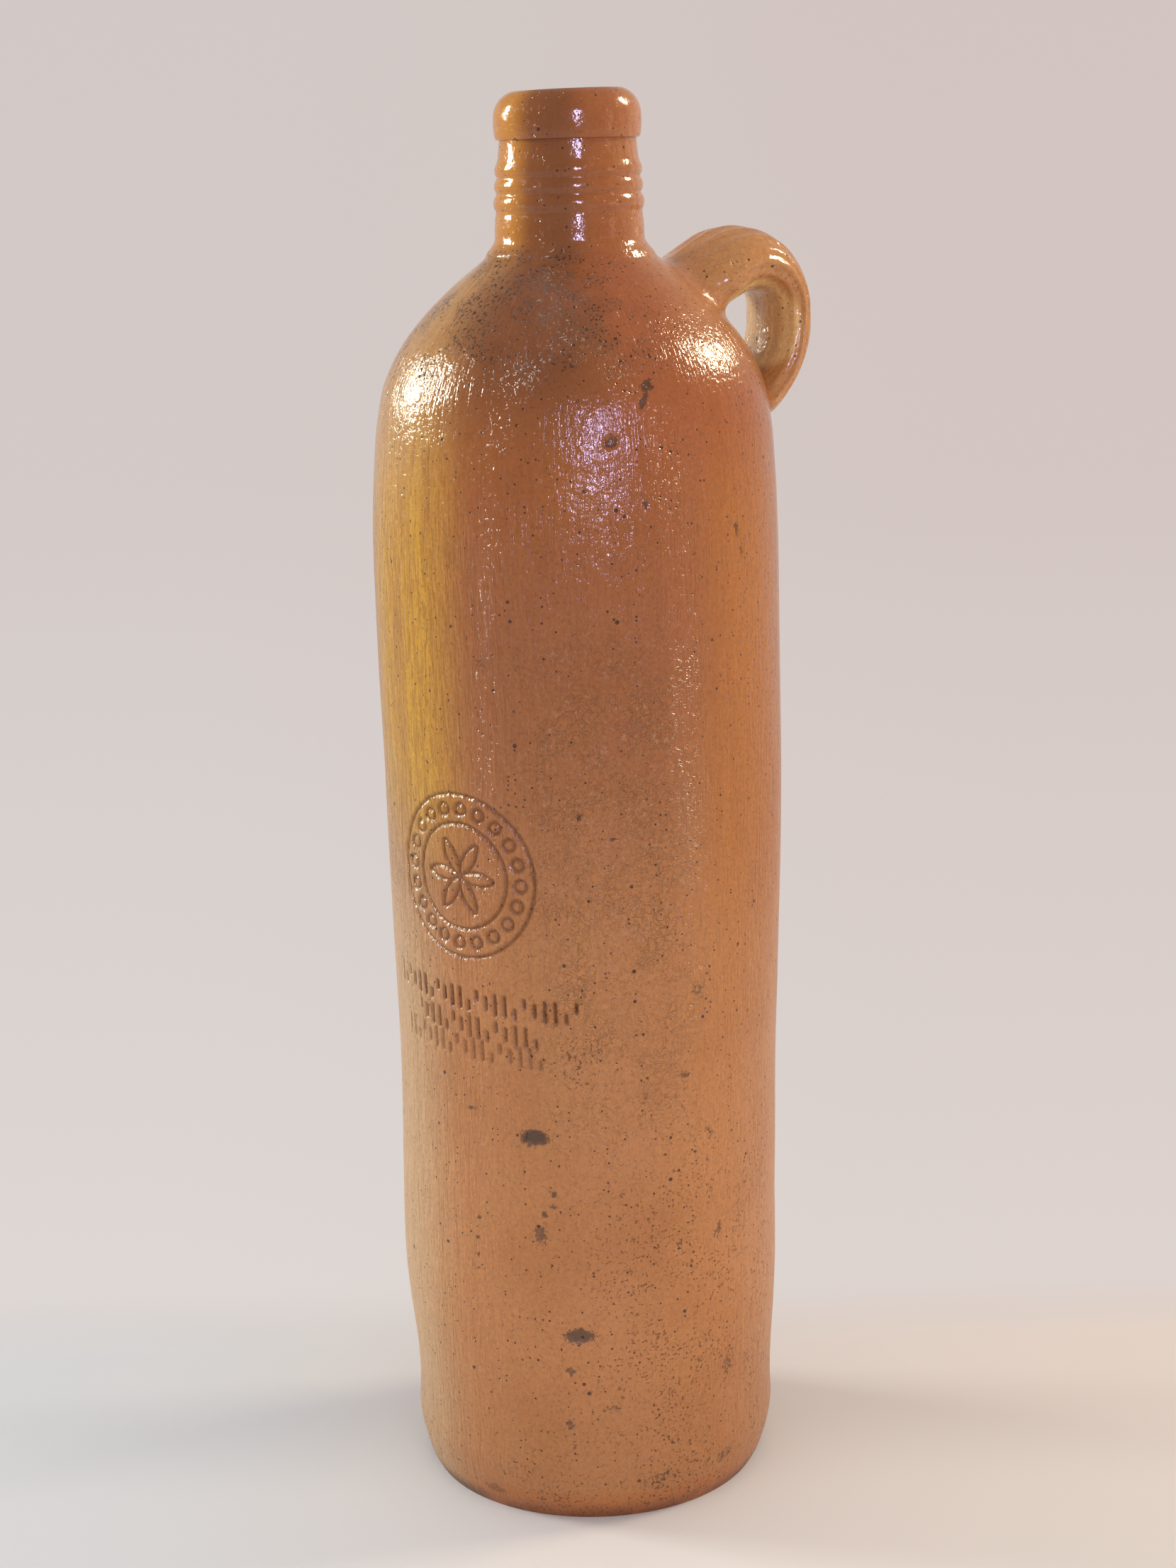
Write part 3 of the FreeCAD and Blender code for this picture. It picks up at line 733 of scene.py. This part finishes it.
# settings that many nodes share
TIMES, TIMES_PLUS, MOST = [{"operation": word} for word in ("MULTIPLY", "MULTIPLY_ADD", "MAXIMUM")]
SMOOTH, COLOURS = {"interpolation_type": "SMOOTHSTEP"}, {"data_type": "RGBA"}
print("the grey 808080 is %.3f in linear light" % linear("808080")[0])

# %% [markdown]
# A pattern has to know where on the bottle it is. An unwrapped map could tell it, but would
# stretch the skin over the shoulder. Here each spot uses its own place: its height above the
# table in mm, its azimuth in degrees and its direction out from the axis. Three values that
# the mesh carries say where the stamp, the stains and the strap are.

# %% Coordinates of the skin
# salt-glazed stoneware, thrown and fired: a warm speckled clay under a thin sodium glass,
# which gives the eye small sharp highlights high up and a dry, dull skin low down
glaze, clay, skin = new_material("salt_glazed_stoneware")
FOLD = 110.0
metres = add(clay, "TexCoord", {}, {}, "Object")
place = add(clay, "VectorMath", {"operation": "SCALE"}, {0: metres, "Scale": 1 / MM})
across, away, height = add(clay, "SeparateXYZ", {}, (place,)).node.outputs
towards = add(clay, "Math", TIMES, (away, -1.0))
azimuth = add(clay, "Math", {"operation": "ARCTAN2"}, (across, towards))
turned = add(clay, "Math", TIMES, (azimuth, 180 / math.pi))
# these two turn back from the fold on, so what a flank wears has faded out at the back
folded_left, folded_right = [add(clay, "Math", TIMES_PLUS, (turned, -2.0, 3 * fold))
                             for fold in (-FOLD, FOLD)]
leftward = add(clay, "Math", MOST, (turned, folded_left))
rightward = add(clay, "Math", {"operation": "MINIMUM"}, (turned, folded_right))
level = add(clay, "VectorMath", TIMES, (place, (1, 1, 0)))
spoke = add(clay, "VectorMath", {"operation": "NORMALIZE"}, (level,))
stamp, stain, strap_part = [add(clay, "Attribute", {"attribute_name": name}, {}, "Fac")
                            for name in ("stamp", "stain", "strap")]
print("coordinates made with", len(clay.nodes), "nodes")

# %% [markdown]
# Every tint and ripple covers some of the skin. A share says how much, and is built from
# fades: (height, 118, 190) is nothing up to 118 mm and full from 190 mm on. Two fades that
# face each other make a band. Masks could be painted by hand instead, but a share is only a
# few numbers, which are easy to read and to change.

# %% Shares of the skin
def share(*parts):
    """The product of its parts. A part is a pattern, a number or a fade, which is a value,
    where it starts and ends and, when they aren't 0 and 1, its least and its most."""
    total = None
    for part in parts:
        if isinstance(part, tuple):
            part = add(clay, "MapRange", SMOOTH, part)
        total = part if total is None else add(clay, "Math", TIMES, (total, part))
    return total


upper = share((height, 118, 190))
flank = share((turned, -118, -98), (turned, -52, -78))
print("upper wall and flank:", len(clay.nodes), "nodes")

# %% [markdown]
# The potter wiped the wet wall from the shoulder down, so fine streaks run down the sides
# like meridians. Between them the glaze has beaded into the small worms that give salt glaze
# its orange-peel feel. Noise textures give all of these once their space is scaled: a streak
# is noise on a cylinder that is squeezed along its height.

# %% Patterns of the glaze
# widths in mm: a streak, a worm, a pebble; a streak is ten times as long as it is wide
STREAK_WIDTH, STREAK_STRETCH = 1.0, 0.10
WORM_WIDTH, PEBBLE_WIDTH = 1.25, 0.85
WALL_RADIUS = 43.0
along_wall = add(clay, "VectorMath", TIMES, (place, (0, 0, STREAK_STRETCH)))
meridian = add(clay, "VectorMath", TIMES_PLUS, (spoke, (WALL_RADIUS, WALL_RADIUS, 0), along_wall))
streak = add(clay, "TexNoise", {}, {"Vector": meridian, "Scale": 1 / STREAK_WIDTH, "Detail": 2.0,
                                    "Roughness": 0.6, "Distortion": 1.4})
broad_streak = add(clay, "TexNoise", {}, {"Vector": meridian, "Scale": 0.2, "Detail": 3.0, "Distortion": 0.5})
worm_noise = add(clay, "TexNoise", {}, {"Vector": place, "Scale": 1 / WORM_WIDTH, "Detail": 1.0,
                                        "Distortion": 1.0})
off_middle = add(clay, "Math", {"operation": "SUBTRACT"}, (worm_noise, 0.5))
worm = share((add(clay, "Math", {"operation": "ABSOLUTE"}, (off_middle,)), 0.07, 0.0))
pebble = add(clay, "TexNoise", {}, {"Vector": place, "Scale": 1 / PEBBLE_WIDTH, "Detail": 2.0})
cloud = add(clay, "TexNoise", {}, {"Vector": place, "Scale": 0.03, "Detail": 4.0, "Roughness": 0.6})
patchy = add(clay, "TexNoise", {}, {"Vector": place, "Scale": 0.09, "Detail": 3.0, "Roughness": 0.6})
print("patterns and coordinates:", len(clay.nodes), "nodes")

# %% [markdown]
# Iron grains in the clay have melted into dark pinholes, few on the wall and crowded under
# the collar. A Voronoi texture cuts space into cells with a random colour each. That colour
# decides whether a cell holds a speck and how large it is, so no two look alike.

# %% Iron specks
cluster = share((turned, -125, -85), (turned, 25, -25), (height, 236, 252), (height, 270, 266),
                (patchy, 0.35, 0.6))
boost = add(clay, "Math", TIMES_PLUS, (cluster, 4.5, 1.0))


def specks(cell, portion, least, most):
    """Round specks: the cell's size in mm, the portion of cells with one, and their radii in mm."""
    cells = add(clay, "TexVoronoi", {}, {"Vector": place, "Scale": 1 / cell}).node
    chance = add(clay, "SeparateColor", {}, (cells.outputs["Color"],)).node
    radius = share((chance.outputs[0], 0.0, 1.0, least / cell, most / cell))
    present = add(clay, "Math", {"operation": "LESS_THAN"}, (chance.outputs[1], share(boost, portion)))
    reach = add(clay, "Math", {"operation": "DIVIDE"}, (cells.outputs["Distance"], radius))
    return share((reach, 1.0, 0.65), present)


dark_spots = add(clay, "Math", MOST, (specks(1.15, 0.34, 0.10, 0.27), specks(2.6, 0.12, 0.26, 0.50)))
print("pinholes up to 0.54 mm and iron spots up to 1 mm across")

# %% [markdown]
# Sand and ash fell on the glaze in the kiln, and dirt has settled since. It lies in grains
# and not in flat blots, so one fine noise is cut off at a level, and shares say where it
# shows: low on the right, round the foot, in a smudge beside the rows of strokes, and as
# dark kiln grit under the collar. The same grains break up the edge of every mark.

# %% Grit
lump = add(clay, "TexNoise", {}, {"Vector": place, "Scale": 0.33, "Detail": 2.0})
mottle = add(clay, "TexNoise", {}, {"Vector": place, "Scale": 1.4, "Detail": 3.0, "Roughness": 0.7})
grainy_stain = add(clay, "Math", TIMES_PLUS, (stain, 0.55, mottle))
stain_depth = add(clay, "Math", TIMES_PLUS, (stain, 0.6, 0.35))
grains = share((grainy_stain, 0.60, 0.74), (stain, 0.02, 0.15), stain_depth)
low_right = share((turned, -45, 5), (turned, 60, 30), (height, 130, 40), (patchy, 0.38, 0.56))
round_foot = share((height, 26, 6), (patchy, 0.38, 0.6, 0.15, 1.0))
smudge = share((turned, -34, -30), (turned, -19, -24), (height, 98, 102), (height, 112, 109))
gritty = 0.2
for patch in (smudge, round_foot, low_right):
    gritty = add(clay, "Math", MOST, (patch, gritty))
grit = share((mottle, 0.59, 0.66), gritty)
kiln_grit = share((mottle, 0.55, 0.6), (cluster, 0.1, 0.8))
print("grit of about %.1f mm" % (1 / 1.4))

# %% [markdown]
# The first colours come from the fire. Where the flame passed, the glaze is yellow or orange,
# under the collar it is red and brown, and low down the clay stays pale and dry. Some tints
# also carry painted light: the yellow flank is partly a painted sheen, the pale clay low at the
# edges is partly a painted reflection, and the strap's face towards its gap is painted bright as
# if lit through the gap. A colour ramp can't follow that, so each tint is laid over the last,
# like coats of thin slip.

# %% Tints of the fire
def coat(colour, rows):
    """Lay tints over a colour. A row holds the parts of a tint's share of the skin, and the tint."""
    for *parts, tint in rows:
        top = linear(tint) if isinstance(tint, str) else tint
        colour = add(clay, "Mix", COLOURS, {0: share(*parts), 6: colour, 7: top}, 2)
    return colour


# the strap is redder outside; its face towards the finger's gap is painted bright yellow,
# a painted pool of the left window's light that shines through the gap
GAP_MIDDLE = (38.5, 0, 251)
flat = add(clay, "VectorMath", TIMES, (place, (1, 0, 1)))
from_gap = add(clay, "VectorMath", {"operation": "DISTANCE"}, (flat, GAP_MIDDLE), 1)
strap_tint_and_painted_light = coat(linear("d0965e"), [((from_gap, 10.6, 8.8), "ffdc9c")])
# in turn: upper wall, clouds, yellow flank (partly a painted sheen), orange right, red and brown
# under the collar, tan left shoulder, round the strap's root, pale clay low on the left and on
# the right (partly drier clay, partly a painted reflection), the strap
colour = coat(linear("c88852"), [
    (upper, "a86438"),
    ((cloud, 0.42, 0.75, 0.0, 0.45), "b37036"),
    # the flank's yellow is partly the glaze's flashing and partly a painted sheen
    (flank, (height, 135, 165), (height, 258, 215), 0.95, "dba322"),
    ((turned, 2, 26), (turned, 110, 70), (height, 90, 160), (height, 255, 205), 0.8, "bd7526"),
    ((turned, -38, 0), (turned, 60, 25), (height, 215, 240), (height, 270, 266), 0.45, "b0603c"),
    ((turned, -82, -55), (turned, -5, -32), (height, 225, 250), 0.75, "7d4a2a"),
    ((turned, -150, -110), (turned, -50, -88), (height, 200, 240), (height, 272, 262), 0.8, "d0a468"),
    ((turned, 5, 45), (turned, 160, 120), (height, 236, 256), 0.7, "cf9468"),
    # these pale tints are partly drier clay and partly a painted reflection of the pale paper at the grazing
    # edges
    ((leftward, -62, -92), (height, 178, 120), 0.6, "dcbf92"),
    ((rightward, 15, 60), (height, 150, 95), 0.45, "cda283"),
    (strap_part, 0.85, strap_tint_and_painted_light),
])
print("with the fire's tints:", len(clay.nodes), "nodes")

# %% [markdown]
# Over the fire's colours lie the marks of the work and of use: dark streaks, pale worms in
# front, grit, a darker band at the foot's bottom edge, the golden neck, stains, pinholes and the
# pressed stamp, which is darker in its grooves. They come later in the coat, because they lie on top.

# %% Tints of the marks
worm_zone = share((height, 70, 125), (height, 205, 180), (turned, -52, -28), (turned, 20, -5),
                  (patchy, 0.4, 0.6, 0.35, 1.0))
# in turn: fine and broad streaks, worms, grit, the foot's edge, pebbles, the neck, stains, the
# dark patch under the collar, its grit, specks, the stamp, the foot's shade and its wiped band
colour = coat(colour, [
    ((streak, 0.56, 0.36), (leftward, -15, -60, 0.12, 0.4), (height, 110, 175, 0.12, 1.0), "94571f"),
    ((broad_streak, 0.5, 0.75, 0.0, 0.35), upper, "9c5a2c"),
    (worm, worm_zone, 0.5, "cf9c72"),
    (grit, 0.8, "6e4024"),
    ((height, 5.0, 0.6), (patchy, 0.3, 0.6, 0.35, 0.9), "5b3a2c"),
    ((pebble, 0.62, 0.38, 0.0, 0.14), "7a4424"),
    (flank, (height, 262, 272), 0.75, "d49030"),
    (grains, "45352d"),
    (cluster, 0.3, "6a3c20"),
    (kiln_grit, 0.85, "33241e"),
    (dark_spots, 0.85, "33201a"),
    (stamp, 0.62, "6b4228"),
    ((height, 42, 10, 0.0, 0.2), "845736"),
    ((height, 7.5, 5.5), (turned, -80, -50), (turned, 60, 20), 0.35, "b8662f"),
])
print("with all tints:", len(clay.nodes), "nodes")

# %% [markdown]
# The same patterns also raise the skin, by tenths of a millimetre, and that is what breaks a
# highlight into sparks. So fine a relief would need millions of faces, and a bump node bends
# only the light. The glass is thick and shiny on the shoulder and thin and dull lower down.

# %% Relief of the skin
flanks = add(clay, "Math", MOST, (share((turned, -45, -80)), share((turned, 5, 40))))
# a pattern and the parts of how far it rises, in mm
RELIEF = [
    (streak, (height, 50, 170), (height, 227, 205), (leftward, 5, -50, 0.12, 0.42)),
    (streak, flanks, (height, 190, 130, 0.0, 0.4)),
    (streak, (height, 266, 255, 0.0, 0.12)),
    (broad_streak, (leftward, -40, -80, 0.2, 1.1), (height, 170, 110)),
    (worm, worm_zone, 0.22),
    (pebble, (height, 200, 120, 0.14, 0.2)),
    (lump, (height, 240, 150, 0.2, 0.4)),
    (dark_spots, -0.3),
    (grit, -0.4),
    (kiln_grit, 0.08),
]
relief = 0.0
for pattern, *parts in RELIEF:
    relief = add(clay, "Math", TIMES_PLUS, (pattern, share(*parts), relief))
relief = share(relief, (height, 262, 275, 1.0, 0.5))
bump = add(clay, "Bump", {}, {"Height": relief, "Distance": MM, "Strength": 1.0})
gloss = share((height, 80, 200, 0.38, 0.11))
for name, source in (("Base Color", colour), ("Normal", bump), ("Roughness", gloss)):
    clay.links.new(source, skin.inputs[name])
skin.inputs["IOR"].default_value = 1.5
pressed.materials.clear()
pressed.materials.append(glaze)
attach(bottle, "root")
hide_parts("bottle")
print("skin made of", len(clay.nodes), "nodes,", triangles, "triangles")

# %% [markdown]
# The bottle stands on a sheet of white paper that starts to rise just behind it. The paper
# is a swept mesh: level floor, a small bend and a long gentle rise, so a low light behind
# the bottle still reaches it. A plain floor would show a hard horizon.

# %% Paper
# in metres: where the bend starts, its radius, how far the paper goes forward, up and aside
BEND_START, BEND_SIZE, BEND_STEPS = 0.050, 0.05, 12
RISE = math.radians(24)
FRONT, SLOPE, HALF_WIDTH = -1.6, 3.2, 2.5
profile = [(FRONT, 0.0), (-0.6, 0.0), (-0.2, 0.0), (BEND_START, 0.0)]
for step in range(1, BEND_STEPS + 1):
    angle = RISE * step / BEND_STEPS
    profile.append((BEND_START + BEND_SIZE * math.sin(angle), BEND_SIZE * (1 - math.cos(angle))))
end = profile[-1]
profile.append((end[0] + SLOPE * math.cos(RISE), end[1] + SLOPE * math.sin(RISE)))
paper_points = [(side, depth, rise) for depth, rise in profile for side in (-HALF_WIDTH, HALF_WIDTH)]
paper_faces = [(2 * k, 2 * k + 1, 2 * k + 3, 2 * k + 2) for k in range(len(profile) - 1)]
paper_mesh = bpy.data.meshes.new("paper")
paper_mesh.from_pydata(paper_points, [], paper_faces)
paper_mesh.shade_smooth()
paper = as_object(paper_mesh, "paper")
paper.rotation_euler.z = CAMERA_AZIMUTH
# uncoated white paper, rolled smooth: matt, so it gives soft shade and no highlight
LEFT_EDGE, RIGHT_EDGE = -0.16, 0.16
PAINTED_FRONT_LIGHT = 0.09
paper_material, sheet, paper_skin = new_material("paper")
spot = add(sheet, "TexCoord", {}, {}, "Object")
sidewards, backwards = add(sheet, "SeparateXYZ", {}, (spot,)).node.outputs[:2]
# painted light: the paper is tinted cool grey on the left and peach on the right, the colours of the white
# and the warm window's light
side = add(sheet, "MapRange", SMOOTH, (sidewards, LEFT_EDGE, RIGHT_EDGE))
# painted light: beside the bottle the paper is painted whiter towards the camera, which lightens
# the floor and the bottle's shadows there
near = add(sheet, "MapRange", SMOOTH, (backwards, 0.02, -0.03, 0.0, 0.3))
tint = add(sheet, "Mix", COLOURS, {0: side, 6: linear("ccd4dd"), 7: linear("d9d2cf")}, 2)
tint = add(sheet, "Mix", COLOURS, {0: near, 6: tint, 7: linear("ffffff")}, 2)
# painted light: the rise is lighter near the bend and darker higher up, as the windows light it
back = add(sheet, "MapRange", {}, (backwards, 0.05, 2.0))
fade = add(sheet, "ValToRGB", {}, (back,)).node
fade.color_ramp.elements[0].color = linear("dfd8d4")
fade.color_ramp.elements[1].color = linear("d0c7c4")
for stop, code in ((0.06, "dad3d0"), (0.2, "d3cac7")):
    fade.color_ramp.elements.new(stop).color = linear(code)
# painted light: the rise is warmer on the right, where the warm window lights it
warm = add(sheet, "Mix", {**COLOURS, "blend_type": "MULTIPLY"},
           {0: side, 6: fade.outputs[0], 7: linear("fffaf8")}, 2)
# the camera and the glaze see the rise as a glow, which is painted window light, and the camera
# also sees the front lifted by a painted glow
light_path = add(sheet, "LightPath", {}, {}).node
by_camera, by_glaze = [light_path.outputs[name] for name in ("Is Camera Ray", "Is Glossy Ray")]
seen = add(sheet, "Math", MOST, (by_camera, by_glaze))
rise = add(sheet, "MapRange", SMOOTH, (backwards, 0.046, 0.075))
glowing = add(sheet, "Math", TIMES, (seen, rise))
glow = add(sheet, "Emission", {}, {"Color": warm, "Strength": 1.0})
lift = add(sheet, "Math", TIMES, (add(sheet, "Math", TIMES, (by_camera, near)), PAINTED_FRONT_LIGHT))
cover = add(sheet, "MixShader", {}, (glowing, paper_skin.outputs[0], glow))
sheet.links.new(cover, sheet.nodes["Material Output"].inputs["Surface"])
for name, source in (("Base Color", tint), ("Emission Strength", lift)):
    sheet.links.new(source, paper_skin.inputs[name])
paper_skin.inputs["Roughness"].default_value = 0.9
paper_skin.inputs["Specular IOR Level"].default_value = 0.2
paper_mesh.materials.append(paper_material)
print("paper:", len(paper_faces), "strips,", len(sheet.nodes), "nodes")

# %% [markdown]
# The highlights on the glaze show where the light came from: a white window on the left and
# a warm one on the right, both a little behind the bottle, and a weak lilac one in front.
# The clay needs broad soft light, and the glaze mirrors small bright panes. One lamp can't
# be both, so some area lamps reach only the clay and others are seen only by the glaze. A
# photographed room would be quicker, but nobody could move its windows.

# %% Lights
TARGET = Vector((0, 0, 0.15))


def window(name, bearing, elevation, distance, width, tall, power, colour, reaches):
    """An area lamp seen from the bottle at a bearing from the camera and an elevation."""
    lamp = bpy.data.lights.new(name, "AREA")
    lamp.shape = "RECTANGLE"
    lamp.size = width
    lamp.size_y = tall
    lamp.energy = power
    lamp.color = linear(colour)[:3]
    holder = as_object(lamp, name)
    side = compass(CAMERA_AZIMUTH + math.radians(bearing)) * math.cos(math.radians(elevation))
    holder.location = TARGET + distance * (side + Vector((0, 0, math.sin(math.radians(elevation)))))
    holder.rotation_euler = (holder.location - TARGET).to_track_quat("Z", "Y").to_euler()
    holder.visible_camera = False
    holder.visible_diffuse = reaches != "glaze"
    holder.visible_glossy = reaches != "clay"


# name, bearing and elevation in degrees, distance, width and height in metres, watts, colour
WINDOWS = [
    ("left_window", -106, 21, 2.0, 0.50, 0.40, 18.0, "fffaf2", "clay"),
    ("right_window", 106, 29, 2.0, 0.50, 0.43, 16.0, "ffe6c4", "clay"),
    ("left_pane", -112, 20, 2.0, 0.18, 0.66, 68.0, "fffae4", "glaze"),
    ("right_pane", 116, 33, 2.0, 0.20, 0.42, 40.0, "fff0c8", "glaze"),
    ("right_glow", 68, 2, 1.2, 0.12, 0.60, 0.6, "ffc8b8", "both"),
    ("front_window", 15, 15, 1.4, 0.12, 0.42, 10.5, "c6c0f6", "glaze"),
    ("front_light", 5, 25, 1.6, 0.80, 0.80, 1.8, "fff2e8", "clay"),
]
for row in WINDOWS:
    window(*row)
print(len(WINDOWS), "lamps,", sum(row[6] for row in WINDOWS), "watts")

# %% [markdown]
# The rest of the light comes from the pale walls of the room. A plain world colour is enough
# for it. The room in front of the bottle is dim, so the glaze mirrors less of it than the
# clay receives, which keeps the colours deep. The Standard view shows a colour as written.

# %% Room
ROOM_LIGHT, ROOM_MIRRORED = 0.78, 0.40
world = bpy.data.worlds.new("room")
bpy.context.scene.world = world
world.use_nodes = True
room = world.node_tree.nodes["Background"]
room.inputs["Color"].default_value = linear("f0eae6")
ray = add(world.node_tree, "LightPath", {}, {}).node
strength = add(world.node_tree, "MapRange", {},
               (ray.outputs["Is Glossy Ray"], 0.0, 1.0, ROOM_LIGHT, ROOM_MIRRORED))
world.node_tree.links.new(strength, room.inputs["Strength"])
bpy.context.scene.view_settings.view_transform = "Standard"
print("room light", ROOM_LIGHT, "and in the glaze", ROOM_MIRRORED)
